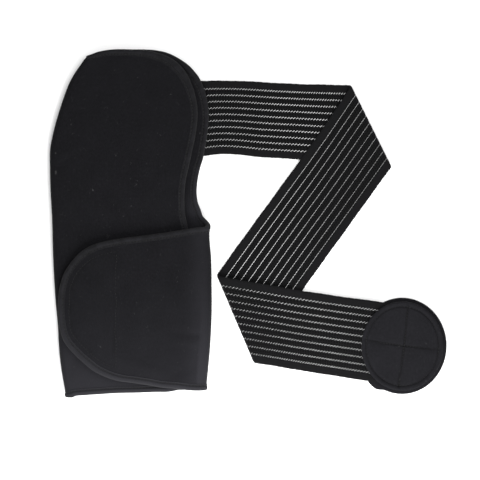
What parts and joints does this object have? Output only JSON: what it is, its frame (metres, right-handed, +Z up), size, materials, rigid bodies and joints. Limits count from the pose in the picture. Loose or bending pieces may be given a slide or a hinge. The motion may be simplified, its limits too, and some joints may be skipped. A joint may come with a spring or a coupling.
{
  "type": "shoulder brace",
  "caption": "Padded single-shoulder sleeve with a wrap-over closure flap and a wide striped elastic strap, folded in a zigzag and ending in a round fastening pad.",
  "frame": {"origin": "middle of the footprint of the whole brace, on the surface it lies on", "axes": "+X from the sleeve towards the round pad, +Y from the hem of the sleeve towards its shoulder cap, +Z up out of the surface"},
  "size_m": [0.3742, 0.3284, 0.0213],
  "materials": {
    "neoprene": "matt brushed loop cloth over foam",
    "binding": "matt knitted tape",
    "hook": "moulded hooks",
    "elastic": "woven elastic with pale thread lines",
    "pad": "matt brushed cloth"
  },
  "bodies": {
    "root": {"body_shell": "neoprene", "edge_binding": "binding", "hook_patch": "hook", "elastic_strap": "elastic", "end_disc_backing": "pad", "end_disc_face": "pad"}
  },
  "joints": []
}
